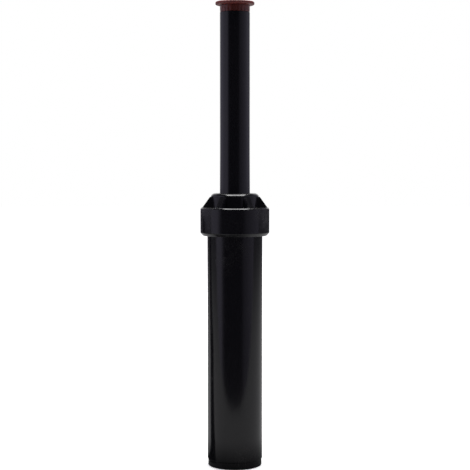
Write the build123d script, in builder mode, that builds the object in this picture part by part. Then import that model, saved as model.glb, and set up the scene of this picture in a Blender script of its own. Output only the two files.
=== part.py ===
from build123d import *
from math import cos, radians, sin, tan
import os

# Pop-up spray sprinkler with its riser up. Millimetres, +Z along the riser.
# The origin is the centre of the inlet end; -Y is the front.

os.makedirs("parts", exist_ok=True)

# Overall sizes
body_r = 22.35
riser_r = 12.15
collar_r = 15.7
stroke = 150.0
body_h = 206.8

# Clearances
running = 0.08
seal_gap = 0.05
thread_gap = 0.15
seat_gap = 0.1
loose = 0.3
park_gap = 0.2

# Case: wall, foot band, inlet socket and the ribs that key the ratchet
case_wall = 2.25
case_in_r = body_r - case_wall
foot_step = 0.5
foot_h = 5.2
foot_edge = 0.8
inlet_r = 10.4
inlet_depth = 17.0
inlet_lead = 0.6
port_r = 8.0
floor_t = 2.5
boss_wall = 3.2
web_count = 6
web_t = 2.0
foot_wall = 2.6
key_count = 6
key_w = 2.2
key_h = 1.4
key_r = case_in_r - key_h
floor_z = inlet_depth + floor_t
key_top = 10.0
key_bury = 0.5

# Cap: threaded skirt, stepped shoulder, six gussets and the top ring
cap_over = 5.65
cap_r = body_r + cap_over
cap_wall = 3.2
cap_in_r = cap_r - cap_wall
seal_t = 1.4
shoulder_t = 2.4
skirt_h = 22.8
cap_edge_r = 2.2
cap_edge_z = 2.4
cap_round = 1.0
gusset_count = 6
gusset_w = 5.0
gusset_h = 8.7
mouth_gap = 1.25
mouth_step = 3.4
neck_wall = 1.6
ring_over = 0.9
ring_t = 3.0
ring_round = 1.0
mouth_r = riser_r + mouth_gap
cap_bore_r = mouth_r + mouth_step
cap_neck_r = cap_bore_r + neck_wall
ring_r = cap_neck_r + ring_over
gusset_in = 1.5
gusset_out = 1.0
gusset_low_r = cap_r - gusset_in
gusset_top_r = ring_r + gusset_out
gusset_bury = 1.0
lip_t = 2.7
neck_start = 1.2
ceiling_z = body_h + seal_t
shoulder_z = ceiling_z + shoulder_t
skirt_z = shoulder_z - skirt_h
ring_z = shoulder_z + gusset_h
cap_top = ring_z + ring_t
lip_z = cap_top - lip_t
neck_r = cap_in_r - thread_gap
neck_z = skirt_z + neck_start

# Seal retainer: seat in the case rim, guide sleeve round the riser
retainer_t = 1.6
seat_wall = 2.7
seat_r = neck_r - seat_wall
guide_wall = 1.4
guide_in_r = riser_r + running
guide_out_r = guide_in_r + guide_wall
retainer_z = body_h - retainer_t

# Riser base, ratchet ring and their shared teeth
base_flange_t = 3.0
base_r = key_r - loose
base_sleeve_r = guide_out_r
sleeve_over = 2.0
ledge_t = 1.2
riser_wall = 2.75
riser_bore_r = riser_r - riser_wall
spoke_w = 1.6
spoke_count = 2
tooth_count = 24
tooth_h = 0.6
tooth_in_r = base_sleeve_r + 0.8
tooth_out_r = base_r - 0.6
tooth_fill = 0.86
tooth_w = tooth_fill * 2 * tooth_in_r * tan(radians(180 / tooth_count))
tooth_gap = 0.06
ring_body_t = 4.0
ring_out_r = case_in_r - loose
ring_in_r = base_sleeve_r + running
rim_wall = 1.0
rim_h = 1.6
base_z = floor_z + park_gap + stroke
flange_top = base_z + base_flange_t
ring_low = flange_top + tooth_gap
ring_top = ring_low + ring_body_t
sleeve_top = ring_top + sleeve_over
guide_low = sleeve_top + park_gap
tube_z = base_z + ledge_t

# Return spring, closed up by the raised riser
wire_r = 0.75
spring_room = 1.97
spring_r = guide_out_r + spring_room
spring_turns = 17
spring_h = retainer_z - ring_top
spring_pitch = (spring_h - 2 * wire_r) / spring_turns

# Nozzle: threaded base, arc collar, deflector and radius screw
collar_gap = 0.8
collar_lift = 0.2
collar_t = 3.1
plate_t = 1.8
nozzle_skirt_h = 5.3
nozzle_draft = 0.25
riser_edge = 0.3
collar_low = cap_top + stroke + collar_gap
plate_top = collar_low - collar_lift
plate_low = plate_top - plate_t
riser_top = plate_top - nozzle_skirt_h
thread_step = 1.55
thread_r = riser_r - thread_step
thread_top = plate_low - loose
socket_r = thread_r + thread_gap
hub_spokes = 3
hub_spoke_w = 1.4
post_r = 2.6
hub_wall = 1.4
pilot_step = 2.65
pilot_thin = 0.5
spigot_gap = 0.6
spigot_wall = 1.2
port_shift = 0.1
spigot_r = riser_bore_r - spigot_gap
spigot_in_r = spigot_r - spigot_wall
port_in_r = post_r + hub_wall
port_out_r = (port_in_r + spigot_in_r) / 2 + port_shift
pilot_r = riser_r - pilot_step
pilot_in_r = (port_out_r + pilot_r) / 2 - pilot_thin
pilot_h = 1.2
bead_h = 0.4
bead_out = 0.25
bead_drop = 0.35
spigot_h = 13.3
nut_key_w = 1.2
nut_key_h = 0.9
stop_in = 1.05
stop_r = riser_r - stop_in
stop_pin_r = 0.45
stop_pin_h = 0.65
collar_top = collar_low + collar_t
collar_lip = 1.3
collar_cone = 1.4
collar_bevel = 3.3
collar_over = 0.45
collar_in_low_r = pilot_r - collar_lip
collar_in_top_r = collar_in_low_r + collar_cone
collar_flat_r = collar_r - collar_bevel
collar_root_r = riser_r + collar_over
collar_rise = 0.5
collar_drop = 0.9
collar_side = 1.3
arc_low = -180
arc_high = 150
arc_groove_w = 1.3
arc_groove_h = 0.9
web_z = plate_top + pilot_h + seat_gap

# Deflector and screw
cone_low_r = 3.4
cone_low_h = 0.3
deflector_r = collar_in_low_r
deflector_rim = 0.5
deflector_drop = 0.3
screw_r = 1.5
head_r = 2.4
head_h = 0.9
head_down = 0.15
slot_w = 0.7
slot_d = 0.5
snap_r = 1.8
snap_h = 0.6
snap_z = 0.15
screw_tip = 9.0
deflector_top = collar_top - deflector_drop
recess_r = head_r + loose
recess_z = deflector_top - head_h - head_down

# Throttle nut that the screw lifts against the nozzle plate
nut_travel = 4.0
nut_t = 3.0
nut_stop = 0.4
nut_r = spigot_in_r - loose
nut_well_r = snap_r + loose
nut_well_h = 1.0
nut_top = plate_low - nut_stop - nut_travel

# Filter basket pressed on the nozzle's spigot
filter_ring_r = riser_bore_r - loose
filter_ring_h = 3.4
filter_len = 30.0
filter_taper = 3.7
filter_low_r = filter_ring_r - filter_taper
filter_wall = 0.8
spigot_low = plate_low - spigot_h
filter_top = spigot_low + filter_ring_h
filter_ring_low = spigot_low - filter_wall
filter_low = filter_ring_low - filter_len
filter_slots = 12
filter_slot_w = 1.5
filter_rows = 3
filter_slot_h = 7.0
filter_slot_step = 8.8
filter_first = 3.2


def radial_planes(count, radius, height, first=0.0):
    """Planes facing outward at equal angles round Z, x along the tangent, y up."""
    planes = []
    for i in range(count):
        a = radians(first + 360 * i / count)
        origin = (radius * cos(a), radius * sin(a), height)
        planes.append(Plane(origin=origin, x_dir=(-sin(a), cos(a), 0), z_dir=(cos(a), sin(a), 0)))
    return planes


def profile_planes(count, first=0.0):
    """Half planes through Z at equal angles, x outward, y up."""
    planes = []
    for i in range(count):
        a = radians(first + 360 * i / count)
        planes.append(Plane(origin=(0, 0, 0), x_dir=(cos(a), sin(a), 0), z_dir=(sin(a), -cos(a), 0)))
    return planes


# Case: tube with the inlet socket, foot webs, ratchet keys and the threaded neck
with BuildPart() as case:
    with BuildSketch(Plane.XZ):
        with BuildLine():
            Polyline(
                (inlet_r + inlet_lead, 0),
                (body_r - foot_step - foot_edge, 0),
                (body_r - foot_step, foot_edge),
                (body_r - foot_step, foot_h),
                (body_r, foot_h + foot_step),
                (body_r, neck_z),
                (neck_r, neck_z + neck_r - body_r),
                (neck_r, body_h),
                (seat_r, body_h),
                (seat_r, retainer_z),
                (case_in_r, retainer_z),
                (case_in_r, floor_z),
                (port_r, floor_z),
                (port_r, inlet_depth),
                (inlet_r, inlet_depth),
                (inlet_r, inlet_lead),
                close=True,
            )
        make_face()
    revolve(axis=Axis.Z)
    with BuildSketch(Plane.XY):
        Circle(body_r - foot_step - foot_wall)
        Circle(inlet_r + boss_wall, mode=Mode.SUBTRACT)
        with PolarLocations(0, web_count):
            Rectangle(body_r, web_t, align=(Align.MIN, Align.CENTER), mode=Mode.SUBTRACT)
    extrude(amount=inlet_depth, mode=Mode.SUBTRACT)
    with BuildSketch(Plane.XY.offset(floor_z - key_bury)):
        with PolarLocations(key_r, key_count, start_angle=180 / key_count):
            Rectangle(key_h + key_bury, key_w, align=(Align.MIN, Align.CENTER))
    extrude(amount=retainer_z - key_top - floor_z + key_bury)
case.part.label = "case"
export_step(case.part, "parts/case.step")

# Cap: screwed on the case neck, gripped by its gussets
with BuildPart() as cap:
    with BuildSketch(Plane.XZ):
        with BuildLine():
            Polyline(
                (cap_in_r, skirt_z),
                (cap_r - cap_edge_r, skirt_z),
                (cap_r, skirt_z + cap_edge_z),
                (cap_r, shoulder_z - cap_round),
                (cap_r - cap_round, shoulder_z),
                (cap_neck_r, shoulder_z),
                (cap_neck_r, ring_z),
                (ring_r, ring_z),
                (ring_r, cap_top - ring_round),
                (ring_r - ring_round, cap_top),
                (mouth_r, cap_top),
                (mouth_r, lip_z),
                (cap_bore_r, lip_z),
                (cap_bore_r, ceiling_z),
                (cap_in_r, ceiling_z),
                close=True,
            )
        make_face()
    revolve(axis=Axis.Z)
    with BuildSketch(*profile_planes(gusset_count)):
        with BuildLine():
            Polyline(
                (cap_neck_r - gusset_bury, shoulder_z - gusset_bury),
                (gusset_low_r, shoulder_z - gusset_bury),
                (gusset_low_r, shoulder_z),
                (gusset_top_r, ring_z),
                (gusset_top_r, ring_z + gusset_bury),
                (cap_neck_r - gusset_bury, ring_z + gusset_bury),
                close=True,
            )
        make_face()
    extrude(amount=gusset_w / 2, both=True)
cap.part.label = "cap"
export_step(cap.part, "parts/cap.step")

# Wiper seal: flange nipped between the cap and the case rim, two lips on the riser
with BuildPart() as wiper_seal:
    with BuildSketch(Plane.XZ):
        with BuildLine():
            Polyline(
                (cap_bore_r - seal_t, body_h),
                (neck_r - seat_gap, body_h),
                (neck_r - seat_gap, ceiling_z),
                (cap_bore_r - seat_gap, ceiling_z),
                (cap_bore_r - seat_gap, lip_z),
                (mouth_r - seat_gap, lip_z),
                (mouth_r - seat_gap, cap_top - seat_gap - seal_gap),
                (riser_r + seal_gap, cap_top - seal_gap),
                (riser_r + seal_gap, lip_z + seal_t),
                (mouth_r - seal_t / 2, lip_z),
                (mouth_r - seal_t / 2, lip_z - seal_t),
                (riser_r + seal_gap, lip_z - 4 * seal_t),
                (riser_r + seal_gap, lip_z - 5 * seal_t),
                (mouth_r + seal_t / 2, lip_z - 1.5 * seal_t),
                (cap_bore_r - seal_t, lip_z - 1.5 * seal_t),
                close=True,
            )
        make_face()
    revolve(axis=Axis.Z)
wiper_seal.part.label = "wiper_seal"
export_step(wiper_seal.part, "parts/wiper_seal.step")

# Seal retainer: ring in the case rim with a sleeve that guides and stops the riser
with BuildPart() as seal_retainer:
    with BuildSketch(Plane.XZ):
        with BuildLine():
            Polyline(
                (guide_in_r, guide_low),
                (guide_out_r, guide_low),
                (guide_out_r, retainer_z),
                (seat_r - seat_gap, retainer_z),
                (seat_r - seat_gap, body_h),
                (guide_in_r, body_h),
                close=True,
            )
        make_face()
    revolve(axis=Axis.Z)
seal_retainer.part.label = "seal_retainer"
export_step(seal_retainer.part, "parts/seal_retainer.step")

# Return spring: stainless wire, almost closed while the riser is up
with BuildPart() as retract_spring:
    with BuildLine():
        coil = Helix(
            pitch=spring_pitch,
            height=spring_pitch * spring_turns,
            radius=spring_r,
            center=(0, 0, ring_top + wire_r),
        )
    with BuildSketch(Plane(origin=coil @ 0, z_dir=coil % 0)):
        Circle(wire_r)
    sweep()
retract_spring.part.label = "retract_spring"
export_step(retract_spring.part, "parts/retract_spring.step")

# Ratchet ring: keyed to the case ribs, its sawteeth sit on the riser base
with BuildPart() as ratchet_ring:
    with BuildSketch(Plane.XY.offset(ring_low)):
        Circle(ring_out_r)
        Circle(ring_in_r, mode=Mode.SUBTRACT)
    extrude(amount=ring_body_t)
    with BuildSketch(Plane.XY.offset(ring_top)):
        Circle(ring_out_r)
        Circle(ring_out_r - rim_wall, mode=Mode.SUBTRACT)
    extrude(amount=rim_h)
    with BuildSketch(Plane.XY.offset(ring_low)):
        with PolarLocations(key_r - loose, key_count, start_angle=180 / key_count):
            Rectangle(2 * key_h, key_w + 2 * loose, align=(Align.MIN, Align.CENTER))
    extrude(amount=ring_body_t + rim_h, mode=Mode.SUBTRACT)
    with BuildSketch(*radial_planes(tooth_count, tooth_in_r - tooth_gap, ring_low)):
        with BuildLine():
            Polyline(
                (-tooth_w / 2 - tooth_gap, 0),
                (tooth_w / 2 + 3 * tooth_gap, 0),
                (-tooth_w / 2 - tooth_gap, tooth_h + tooth_gap),
                close=True,
            )
        make_face()
    extrude(amount=tooth_out_r - tooth_in_r + 2 * tooth_gap, mode=Mode.SUBTRACT)
ratchet_ring.part.label = "ratchet_ring"
export_step(ratchet_ring.part, "parts/ratchet_ring.step")

# Riser base: flange and sleeve pressed on the tube's lower end, with the teeth
with BuildPart() as riser_base:
    with BuildSketch(Plane.XZ):
        with BuildLine():
            Polyline(
                (riser_bore_r, base_z),
                (base_r, base_z),
                (base_r, flange_top),
                (base_sleeve_r, flange_top),
                (base_sleeve_r, sleeve_top),
                (riser_r, sleeve_top),
                (riser_r, tube_z),
                (riser_bore_r, tube_z),
                close=True,
            )
        make_face()
    revolve(axis=Axis.Z)
    with BuildSketch(Plane.XY.offset(base_z)):
        with PolarLocations(0, spoke_count, angular_range=180):
            Rectangle(2 * riser_bore_r + ledge_t, spoke_w)
    extrude(amount=ledge_t)
    with BuildSketch(*radial_planes(tooth_count, tooth_in_r, flange_top)):
        with BuildLine():
            Polyline(
                (-tooth_w / 2, -tooth_gap),
                (tooth_w / 2, -tooth_gap),
                (tooth_w / 2, 0),
                (-tooth_w / 2, tooth_h),
                close=True,
            )
        make_face()
    extrude(amount=tooth_out_r - tooth_in_r)
riser_base.part.label = "riser_base"
export_step(riser_base.part, "parts/riser_base.step")

# Riser tube: smooth outside for the wiper seal, threaded neck for the nozzle
with BuildPart() as riser_tube:
    with BuildSketch(Plane.XZ):
        with BuildLine():
            Polyline(
                (riser_bore_r, tube_z),
                (riser_r, tube_z),
                (riser_r, riser_top - riser_edge),
                (riser_r - riser_edge, riser_top),
                (thread_r, riser_top),
                (thread_r, thread_top),
                (riser_bore_r, thread_top),
                close=True,
            )
        make_face()
    revolve(axis=Axis.Z)
riser_tube.part.label = "riser_tube"
export_step(riser_tube.part, "parts/riser_tube.step")

# Nozzle base: skirt screwed on the riser, plate with the water port, pilot and spigot
with BuildPart() as nozzle_base:
    with BuildSketch(Plane.XZ):
        with BuildLine():
            Polyline(
                (socket_r, riser_top),
                (riser_r - nozzle_draft, riser_top),
                (riser_r, plate_top),
                (pilot_r, plate_top),
                (pilot_r, web_z - seat_gap - bead_drop - bead_h),
                (pilot_r + bead_out, web_z - seat_gap - bead_drop - bead_h / 2),
                (pilot_r, web_z - seat_gap - bead_drop),
                (pilot_r, web_z - seat_gap),
                (pilot_in_r, web_z - seat_gap),
                (pilot_in_r, plate_top),
                (port_out_r, plate_top),
                (port_out_r, plate_low),
                (spigot_in_r, plate_low),
                (spigot_in_r, spigot_low),
                (spigot_r, spigot_low),
                (spigot_r, plate_low),
                (socket_r, plate_low),
                close=True,
            )
        make_face()
    revolve(axis=Axis.Z)
    with BuildSketch(Plane.XY.offset(plate_low)):
        Circle(port_in_r)
        with PolarLocations(0, hub_spokes):
            Rectangle(port_out_r + hub_spoke_w / 2, hub_spoke_w, align=(Align.MIN, Align.CENTER))
        Circle(post_r, mode=Mode.SUBTRACT)
    extrude(amount=plate_t)
    with BuildSketch(Plane.XY.offset(spigot_low)):
        with PolarLocations(spigot_in_r - nut_key_h, spoke_count):
            Rectangle(nut_key_h + seat_gap, nut_key_w, align=(Align.MIN, Align.CENTER))
    extrude(amount=spigot_h)
    with BuildSketch(Plane.XY.offset(plate_top)):
        with Locations((0, -stop_r)):
            Circle(stop_pin_r)
    extrude(amount=stop_pin_h)
nozzle_base.part.label = "nozzle_base"
export_step(nozzle_base.part, "parts/nozzle_base.step")

# Arc collar: turns on the pilot, its groove runs over the stop pin
with BuildPart() as arc_collar:
    with BuildSketch(Plane.XZ):
        with BuildLine():
            Polyline(
                (pilot_r + running, collar_low),
                (collar_root_r, collar_low),
                (collar_r - collar_rise, collar_low + collar_rise),
                (collar_r, collar_low + 2 * collar_rise),
                (collar_r, collar_low + 2 * collar_rise + collar_side),
                (collar_r - collar_rise, collar_top - collar_rise / 2),
                (collar_flat_r, collar_top),
                (collar_in_top_r, collar_top),
                (collar_in_low_r, web_z),
                (pilot_r + running, web_z),
                (pilot_r + running, web_z - bead_drop + seat_gap),
                (pilot_r + bead_out + running, web_z - seat_gap - bead_drop - bead_h / 2 + seat_gap),
                (pilot_r + bead_out + running, web_z - seat_gap - bead_drop - bead_h / 2 - seat_gap),
                (pilot_r + running, web_z - bead_drop - bead_h - 2 * seat_gap),
                close=True,
            )
        make_face()
    revolve(axis=Axis.Z)
    with BuildSketch(Plane.XY.offset(collar_low)):
        SlotArc(CenterArc((0, 0), stop_r, -90 - arc_high, arc_high - arc_low), arc_groove_w)
    extrude(amount=arc_groove_h, mode=Mode.SUBTRACT)
arc_collar.part.label = "arc_collar"
export_step(arc_collar.part, "parts/arc_collar.step")

# Deflector: cone that throws the water outward, its post pressed in the base hub
with BuildPart() as deflector:
    with BuildSketch(Plane.XZ):
        with BuildLine():
            Polyline(
                (screw_r + running, plate_low),
                (post_r, plate_low),
                (post_r, plate_top),
                (cone_low_r, plate_top),
                (cone_low_r, plate_top + cone_low_h),
                (deflector_r, deflector_top - deflector_rim),
                (deflector_r, deflector_top),
                (recess_r, deflector_top),
                (recess_r, recess_z),
                (screw_r + running, recess_z),
                close=True,
            )
        make_face()
    revolve(axis=Axis.Z)
deflector.part.label = "deflector"
export_step(deflector.part, "parts/deflector.step")

# Radius screw: slotted head in the deflector, snapped in under the base hub
with BuildPart() as radius_screw:
    with BuildSketch(Plane.XZ):
        with BuildLine():
            Polyline(
                (0, plate_low - screw_tip),
                (screw_r, plate_low - screw_tip),
                (screw_r, plate_low - snap_z - snap_h),
                (snap_r, plate_low - snap_z - snap_h / 2),
                (snap_r, plate_low - snap_z),
                (screw_r, plate_low - snap_z),
                (screw_r, recess_z),
                (head_r, recess_z),
                (head_r, recess_z + head_h),
                (0, recess_z + head_h),
                close=True,
            )
        make_face()
    revolve(axis=Axis.Z)
    with BuildSketch(Plane.XY.offset(recess_z + head_h)):
        Rectangle(2 * head_r + slot_w, slot_w)
    extrude(amount=-slot_d, mode=Mode.SUBTRACT)
radius_screw.part.label = "radius_screw"
export_step(radius_screw.part, "parts/radius_screw.step")

# Throttle nut: keyed in the spigot, lifted by the screw to close the port
with BuildPart() as throttle_nut:
    with BuildSketch(Plane.XY.offset(nut_top - nut_t)):
        Circle(nut_r)
        Circle(screw_r + running, mode=Mode.SUBTRACT)
        with PolarLocations(nut_r - nut_key_h, spoke_count):
            Rectangle(2 * nut_key_h, nut_key_w + 2 * loose, align=(Align.MIN, Align.CENTER), mode=Mode.SUBTRACT)
    extrude(amount=nut_t)
    with BuildSketch(Plane.XY.offset(nut_top)):
        Circle(nut_well_r)
    extrude(amount=-nut_well_h, mode=Mode.SUBTRACT)
throttle_nut.part.label = "throttle_nut"
export_step(throttle_nut.part, "parts/throttle_nut.step")

# Filter screen: slotted basket that hangs from the spigot into the riser
with BuildPart() as filter_screen:
    with BuildSketch(Plane.XZ):
        with BuildLine():
            Polyline(
                (0, filter_low),
                (filter_low_r, filter_low),
                (spigot_r, filter_ring_low),
                (filter_ring_r, filter_ring_low),
                (filter_ring_r, filter_top),
                (spigot_r, filter_top),
                (spigot_r, spigot_low),
                (spigot_r - filter_wall, spigot_low),
                (filter_low_r - filter_wall, filter_low + filter_wall),
                (0, filter_low + filter_wall),
                close=True,
            )
        make_face()
    revolve(axis=Axis.Z)
    for row in range(filter_rows):
        slot_z = filter_ring_low - filter_first - row * filter_slot_step
        with BuildSketch(*radial_planes(filter_slots, filter_wall, slot_z)):
            Rectangle(filter_slot_w, filter_slot_h, align=(Align.CENTER, Align.MAX))
        extrude(amount=riser_bore_r, mode=Mode.SUBTRACT)
filter_screen.part.label = "filter_screen"
export_step(filter_screen.part, "parts/filter_screen.step")
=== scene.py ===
import math

import bpy
import numpy as np
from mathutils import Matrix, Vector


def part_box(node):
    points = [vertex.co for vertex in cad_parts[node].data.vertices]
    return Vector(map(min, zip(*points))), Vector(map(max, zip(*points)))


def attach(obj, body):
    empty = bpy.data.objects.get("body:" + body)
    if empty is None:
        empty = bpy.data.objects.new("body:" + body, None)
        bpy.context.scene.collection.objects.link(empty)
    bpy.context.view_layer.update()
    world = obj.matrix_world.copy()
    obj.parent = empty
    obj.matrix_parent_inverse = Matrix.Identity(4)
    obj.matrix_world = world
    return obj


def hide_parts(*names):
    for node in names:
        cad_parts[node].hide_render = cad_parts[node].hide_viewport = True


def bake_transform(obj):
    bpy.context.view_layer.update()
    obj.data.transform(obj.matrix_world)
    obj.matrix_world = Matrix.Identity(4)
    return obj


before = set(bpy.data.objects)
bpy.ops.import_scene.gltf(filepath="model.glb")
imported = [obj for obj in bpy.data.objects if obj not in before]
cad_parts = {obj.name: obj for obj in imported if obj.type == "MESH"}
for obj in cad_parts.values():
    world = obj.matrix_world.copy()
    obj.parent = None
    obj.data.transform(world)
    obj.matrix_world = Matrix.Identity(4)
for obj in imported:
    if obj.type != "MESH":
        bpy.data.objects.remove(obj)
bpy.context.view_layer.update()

# ---------------------------------------------------------------------------
# Case. A black polypropylene moulding that is buried up to its cap: a plain
# tube with a stepped foot band, a threaded water socket held by six webs
# underneath, six keys down the inside wall and a wide threaded neck.
# ---------------------------------------------------------------------------
MM = 0.001
TURN = 2 * math.pi
CASE_R, FOOT_R, FOOT_H = 22.35, 21.85, 5.2
CASE_IN_R, FOOT_IN_R, BOSS_R = 20.1, 19.25, 13.6
SOCKET_R, SOCKET_DEPTH, PORT_R, FLOOR_Z = 10.4, 17.0, 8.0, 19.5
NECK_R, SEAT_R = 24.65, 21.95
THREAD_LEAD, SEAT_DROP, KEY_DROP = 1.2, 1.6, 10.0
THREAD_PITCH, THREAD_TURNS, THREAD_START, THREAD_HIGH, THREAD_ROOT = 1.814, 7.6, 1.5, 1.0, 1.5
NECK_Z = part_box("cap")[0][2] / MM + THREAD_LEAD
RIM_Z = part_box("case")[1][2] / MM
SEAT_Z = RIM_Z - SEAT_DROP
WEBS, WEB_T = 6, 2.0
KEYS, KEY_R, KEY_W, KEY_TOP = 6, 18.7, 2.2, SEAT_Z - KEY_DROP


def outline(corners, arc=5, guard=0.25, closed=True):
    """Profile in millimetres from (radius, height, fillet) corners. A corner with a
    fillet becomes points on the circle tangent to its two sides, with one more point
    a little way along each side, so that the flats beside it stay flat."""
    c = np.array(corners, float)
    points = []
    for i, (r, z, fillet) in enumerate(c):
        here = np.array((r, z))
        if not closed and i in (0, len(c) - 1):
            points.append(here[None])
            continue
        back, ahead = c[i - 1][:2] - here, c[(i + 1) % len(c)][:2] - here
        lb, la = np.linalg.norm(back), np.linalg.norm(ahead)
        back, ahead = back / lb, ahead / la
        half = math.acos(max(-1.0, min(1.0, float(back @ ahead)))) / 2
        reach = min(fillet / math.tan(half), 0.42 * lb, 0.42 * la) if fillet else 0.0
        if reach < 1e-6:
            points.append(here[None])
            continue
        radius = reach * math.tan(half)
        bisector = (back + ahead) / np.linalg.norm(back + ahead)
        centre = here + bisector * radius / math.sin(half)
        first, last = here + back * reach - centre, here + ahead * reach - centre
        sweep = math.pi - 2 * half
        t = np.linspace(0, 1, arc + 1)[:, None]
        bow = (np.sin((1 - t) * sweep) * first + np.sin(t * sweep) * last) / math.sin(sweep)
        room = min(guard, 0.2 * lb, 0.2 * la)
        points += [here + back * (reach + room) + 0 * bow[:1], centre + bow]
        points.append(here + ahead * (reach + room) + 0 * bow[:1])
    return np.concatenate(points)


def lathe(profile, columns=180):
    """Surface of revolution: point (r, z) of the profile at angle a goes to
    (r cos a, r sin a, z), as a grid with one row for each profile point."""
    a = np.linspace(0, TURN, columns, endpoint=False)
    r, z = profile[:, 0][:, None], profile[:, 1][:, None]
    return np.stack([r * np.cos(a), r * np.sin(a), z + 0 * a], -1)


def grid_quads(rows, columns, wrap_rows, wrap_columns, start=0):
    """Corner numbers of the quads between neighbouring rows and columns of a grid,
    going on round to the first row or column where it wraps."""
    i = np.arange(rows if wrap_rows else rows - 1)[:, None]
    j = np.arange(columns if wrap_columns else columns - 1)[None, :]
    i2, j2 = (i + 1) % rows, (j + 1) % columns
    quads = np.stack([i * columns + j, i * columns + j2, i2 * columns + j2, i2 * columns + j], -1)
    return quads.reshape(-1, 4) + start


def closing(rows, columns):
    """Quads that close both ends of a grid whose columns wrap: a fan over its first
    row, turned over, and a fan over its last row."""
    fan = np.array([[0, k, k + 1, k + 2] for k in range(1, columns - 2, 2)])
    return np.concatenate([fan[:, ::-1], fan + (rows - 1) * columns])


def piece(name, points, quads, material, body, replaces=(), sharp=40, bevel=0.0):
    """Mesh object from corner points in millimetres and quads. The quads are turned
    over if the volume they enclose comes out negative, so the faces point outwards."""
    p = np.asarray(points, float).reshape(-1, 3) * MM
    q = np.asarray(quads, int)
    a, b, c, d = p[q[:, 0]], p[q[:, 1]], p[q[:, 2]], p[q[:, 3]]
    if (np.cross(c - a, d - b) * (a + b + c + d)).sum() < 0:
        q = q[:, ::-1]
    mesh = bpy.data.meshes.new(name)
    mesh.vertices.add(len(p))
    mesh.vertices.foreach_set("co", p.ravel())
    mesh.loops.add(q.size)
    mesh.loops.foreach_set("vertex_index", q.ravel().astype(np.int32))
    mesh.polygons.add(len(q))
    mesh.polygons.foreach_set("loop_start", np.arange(0, q.size, 4, dtype=np.int32))
    mesh.update(calc_edges=True)
    mesh.validate()
    mesh.polygons.foreach_set("use_smooth", np.ones(len(mesh.polygons), bool))
    mesh.set_sharp_from_angle(angle=math.radians(sharp))
    mesh.materials.append(material)
    obj = bpy.data.objects.new(name, mesh)
    bpy.context.scene.collection.objects.link(obj)
    if bevel:
        m = obj.modifiers.new("moulded_edges", "BEVEL")
        m.width, m.segments = bevel * MM, 2
        m.limit_method, m.angle_limit = "ANGLE", math.radians(sharp)
        obj.modifiers.new("clean_corners", "WELD").merge_threshold = 0.02 * MM
    if body:
        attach(obj, body)
    if replaces:
        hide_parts(*replaces)
    return obj


def turned(name, corners, material, body, replaces=(), columns=180, arc=5, sharp=40):
    """Closed turned piece: the lathe surface of a closed outline."""
    grid = lathe(outline(corners, arc), columns)
    return piece(
        name, grid, grid_quads(*grid.shape[:2], True, True), material, body, replaces, sharp,
    )


def bars(name, count, r0, r1, width, z0, z1, material, body, first=0.0, bevel=0.25):
    """Radial bars: a box from radius r0 to r1, of that width across and from height
    z0 to z1, turned to equal angles round the axis."""
    x = np.array([r0, r1, r1, r0, r0, r1, r1, r0])
    y = np.array([-1, -1, 1, 1, -1, -1, 1, 1]) * width / 2
    z = np.array([z0] * 4 + [z1] * 4)
    a = (np.radians(first) + np.arange(count) * TURN / count)[:, None]
    p = np.stack([x * np.cos(a) - y * np.sin(a), x * np.sin(a) + y * np.cos(a), z + 0 * a], -1)
    box = np.array(
        [[0, 3, 2, 1], [4, 5, 6, 7], [0, 1, 5, 4], [1, 2, 6, 5], [2, 3, 7, 6], [3, 0, 4, 7]]
    )
    q = (np.arange(count)[:, None, None] * 8 + box).reshape(-1, 4)
    return piece(name, p, q, material, body, bevel=bevel)


def screw_ridge(radius, depth, pitch, z0, turns, root, steps=72):
    """Thread ridge: a trapezium section carried round a helix, one pitch up each turn.
    Its height fades to nothing over the first and last half turn."""
    t = np.linspace(0, turns, int(turns * steps) + 1)[:, None]
    fade = np.clip(np.minimum(t, turns - t) * 2, 0.02, 1)
    across = np.array([-0.5, -0.14, 0.14, 0.5]) * root
    inward = np.array([0.05, -1.0, -1.0, 0.05]) * depth
    r = radius + inward * np.where(inward < 0, fade, 1)
    z = z0 + t * pitch + across
    return np.stack([r * np.cos(TURN * t), r * np.sin(TURN * t), z], -1)


def node(tree, kind, values=None, **settings):
    """Adds a shader node. values maps an input to a number, a colour or a socket to link."""
    n = tree.nodes.new(kind)
    for key, value in settings.items():
        setattr(n, key, value)
    for key, value in (values or {}).items():
        if isinstance(value, bpy.types.NodeSocket):
            tree.links.new(value, n.inputs[key])
        else:
            n.inputs[key].default_value = value
    return n


def group(name, inputs, outputs):
    """Empty shader node group with float inputs and the named outputs."""
    tree = bpy.data.node_groups.new(name, "ShaderNodeTree")
    for label, default in inputs.items():
        s = tree.interface.new_socket(label, in_out="INPUT", socket_type="NodeSocketFloat")
        s.default_value = default
    for label, kind in outputs.items():
        tree.interface.new_socket(label, in_out="OUTPUT", socket_type=kind)
    return tree, tree.nodes.new("NodeGroupInput"), tree.nodes.new("NodeGroupOutput")


def ramp(tree, fac, stops, interpolation="LINEAR"):
    """Colour ramp from (position, grey) stops."""
    n = node(tree, "ShaderNodeValToRGB", {"Fac": fac})
    n.color_ramp.interpolation = interpolation
    n.color_ramp.elements[0].position = stops[0][0]
    n.color_ramp.elements[1].position = stops[-1][0]
    for position, _ in stops[1:-1]:
        n.color_ramp.elements.new(position)
    for element, (_, grey) in zip(n.color_ramp.elements, stops):
        element.color = (grey, grey, grey, 1)
    return n.outputs["Color"]


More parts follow.
